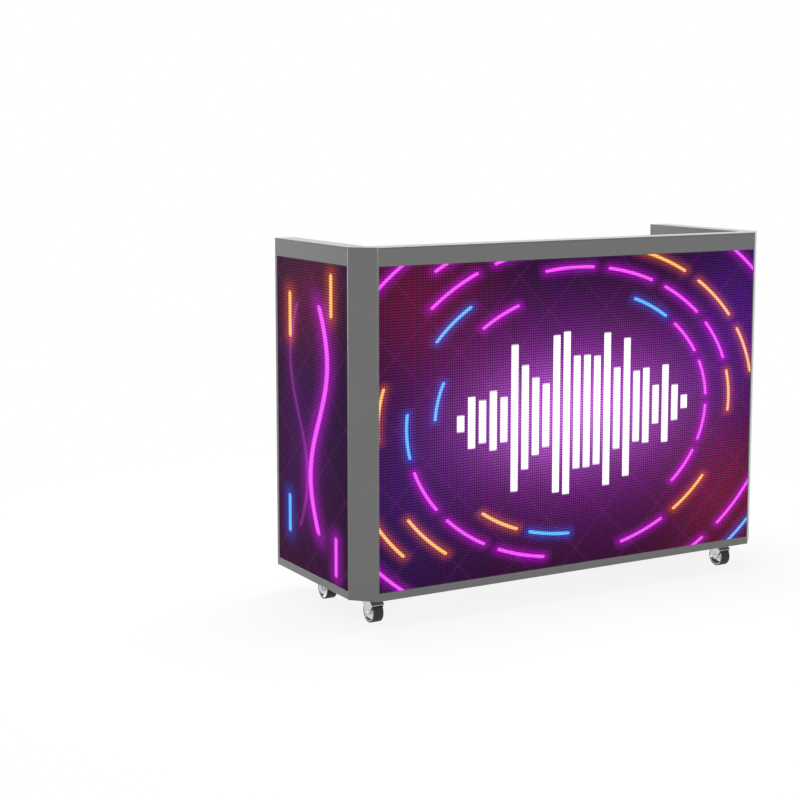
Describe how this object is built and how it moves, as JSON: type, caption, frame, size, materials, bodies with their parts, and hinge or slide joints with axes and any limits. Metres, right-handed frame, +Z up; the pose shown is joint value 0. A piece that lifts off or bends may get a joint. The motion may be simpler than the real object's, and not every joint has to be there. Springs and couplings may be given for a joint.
{
  "type": "dj booth",
  "caption": "Mobile DJ booth: U-shaped steel counter on swivel castors with LED screens on its front and sides, a recessed worktop, a pedestal with drawers and a door, and a kneehole.",
  "frame": {"origin": "on the floor under the middle of the booth", "axes": "+Z up, -Y towards the audience, +Y the operator's side, +X to the right seen from the audience"},
  "size_m": [1.5, 0.53, 1.1],
  "materials": {
    "frame_paint": "satin grey powder coat",
    "inner_paint": "satin dark grey powder coat",
    "pedestal_paint": "satin warm grey powder coat",
    "pull_paint": "satin warm grey powder coat",
    "front_screen": "LED face",
    "side_screen": "LED face",
    "bar_aluminium": "mill",
    "supply_case": "pressed",
    "circuit_board": "solder mask",
    "control_paint": "matte black",
    "inlet_plastic": "moulded",
    "rocker_plastic": "moulded",
    "slide_steel": "zinc plated",
    "lock_metal": "satin nickel",
    "plug_metal": "satin nickel",
    "castor_steel": "zinc plated",
    "fork_chrome": "plated",
    "hub_chrome": "plated",
    "tyre_rubber": "moulded"
  },
  "bodies": {
    "carcass": {"corner_posts": "frame_paint", "rear_posts": "frame_paint", "top_cap": "frame_paint", "front_top_rail": "frame_paint", "side_top_rails": "frame_paint", "front_bottom_rail": "frame_paint", "side_bottom_rails": "frame_paint", "inner_corner_strips": "frame_paint", "front_inner_panel": "inner_paint", "side_inner_panels": "inner_paint", "worktop": "inner_paint", "worktop_cleats": "inner_paint", "floor_pan": "inner_paint", "floor_base": "inner_paint", "pedestal_shell": "pedestal_paint", "door_pivots": "pedestal_paint", "front_led_modules": "front_screen", "left_led_modules": "side_screen", "right_led_modules": "side_screen", "module_bars": "bar_aluminium", "power_supplies": "supply_case", "receiving_cards": "circuit_board", "control_box": "control_paint", "mains_inlet": "inlet_plastic", "rocker_frame": "inlet_plastic", "slide_packers": "slide_steel", "slide_outers": "slide_steel", "castor_plates": "castor_steel"},
    "upper_drawer": {"upper_drawer_front": "pedestal_paint", "upper_drawer_tray": "pedestal_paint", "upper_drawer_pull": "pull_paint", "upper_slide_inners": "slide_steel", "upper_drawer_lock_barrel": "lock_metal"},
    "lower_drawer": {"lower_drawer_front": "pedestal_paint", "lower_drawer_tray": "pedestal_paint", "lower_drawer_pull": "pull_paint", "lower_slide_inners": "slide_steel", "lower_drawer_lock_barrel": "lock_metal"},
    "upper_slides": {"upper_slide_middles": "slide_steel"},
    "lower_slides": {"lower_slide_middles": "slide_steel"},
    "upper_lock": {"upper_drawer_lock_plug": "plug_metal"},
    "lower_lock": {"lower_drawer_lock_plug": "plug_metal"},
    "door": {"door_outer_skin": "pedestal_paint", "door_inner_skin": "pedestal_paint", "door_pull": "pull_paint", "door_lock_barrel": "lock_metal"},
    "door_lock": {"door_lock_plug": "plug_metal"},
    "rocker": {"power_rocker": "rocker_plastic"},
    "front_left_castor": {"front_left_fork": "fork_chrome"},
    "front_left_wheel": {"front_left_hub": "hub_chrome", "front_left_tyre": "tyre_rubber"},
    "front_right_castor": {"front_right_fork": "fork_chrome"},
    "front_right_wheel": {"front_right_hub": "hub_chrome", "front_right_tyre": "tyre_rubber"},
    "rear_left_castor": {"rear_left_fork": "fork_chrome"},
    "rear_left_wheel": {"rear_left_hub": "hub_chrome", "rear_left_tyre": "tyre_rubber"},
    "rear_right_castor": {"rear_right_fork": "fork_chrome"},
    "rear_right_wheel": {"rear_right_hub": "hub_chrome", "rear_right_tyre": "tyre_rubber"}
  },
  "joints": [
    {"name": "upper_drawer_slide", "type": "slide", "parent": "carcass", "child": "upper_drawer", "axis": [0, 1, 0], "range_m": [0, 0.32]},
    {"name": "upper_middle_slide", "type": "slide", "parent": "carcass", "child": "upper_slides", "axis": [0, 1, 0], "range_m": [0, 0.16]},
    {"name": "lower_drawer_slide", "type": "slide", "parent": "carcass", "child": "lower_drawer", "axis": [0, 1, 0], "range_m": [0, 0.32]},
    {"name": "lower_middle_slide", "type": "slide", "parent": "carcass", "child": "lower_slides", "axis": [0, 1, 0], "range_m": [0, 0.16]},
    {"name": "upper_lock_turn", "type": "hinge", "parent": "upper_drawer", "child": "upper_lock", "pos_m": [0.479, 0.24, 0.744], "axis": [0, -1, 0], "range_deg": [0, 90]},
    {"name": "lower_lock_turn", "type": "hinge", "parent": "lower_drawer", "child": "lower_lock", "pos_m": [0.479, 0.24, 0.646], "axis": [0, -1, 0], "range_deg": [0, 90]},
    {"name": "door_swing", "type": "hinge", "parent": "carcass", "child": "door", "pos_m": [0.667, 0.259, 0.343], "axis": [0, 0, -1], "range_deg": [0, 105]},
    {"name": "door_lock_turn", "type": "hinge", "parent": "door", "child": "door_lock", "pos_m": [0.314, 0.24, 0.438], "axis": [0, -1, 0], "range_deg": [0, 90]},
    {"name": "rocker_tip", "type": "hinge", "parent": "carcass", "child": "rocker", "pos_m": [-0.13, -0.114, 0.548], "axis": [1, 0, 0], "range_deg": [-16, 0]},
    {"name": "front_left_swivel", "type": "hinge", "parent": "carcass", "child": "front_left_castor", "pos_m": [-0.652, -0.145, 0.08], "axis": [0, 0, 1], "continuous": true},
    {"name": "front_left_roll", "type": "hinge", "parent": "front_left_castor", "child": "front_left_wheel", "pos_m": [-0.652, -0.172, 0.032], "axis": [1, 0, 0], "continuous": true},
    {"name": "front_right_swivel", "type": "hinge", "parent": "carcass", "child": "front_right_castor", "pos_m": [0.652, -0.145, 0.08], "axis": [0, 0, 1], "continuous": true},
    {"name": "front_right_roll", "type": "hinge", "parent": "front_right_castor", "child": "front_right_wheel", "pos_m": [0.652, -0.172, 0.032], "axis": [1, 0, 0], "continuous": true},
    {"name": "rear_left_swivel", "type": "hinge", "parent": "carcass", "child": "rear_left_castor", "pos_m": [-0.652, 0.145, 0.08], "axis": [0, 0, 1], "continuous": true},
    {"name": "rear_left_roll", "type": "hinge", "parent": "rear_left_castor", "child": "rear_left_wheel", "pos_m": [-0.652, 0.118, 0.032], "axis": [1, 0, 0], "continuous": true},
    {"name": "rear_right_swivel", "type": "hinge", "parent": "carcass", "child": "rear_right_castor", "pos_m": [0.652, 0.145, 0.08], "axis": [0, 0, 1], "continuous": true},
    {"name": "rear_right_roll", "type": "hinge", "parent": "rear_right_castor", "child": "rear_right_wheel", "pos_m": [0.652, 0.118, 0.032], "axis": [1, 0, 0], "continuous": true}
  ],
  "couplings": [
    {"joint": "upper_middle_slide", "follows": "upper_drawer_slide", "ratio": 0.5},
    {"joint": "lower_middle_slide", "follows": "lower_drawer_slide", "ratio": 0.5}
  ]
}
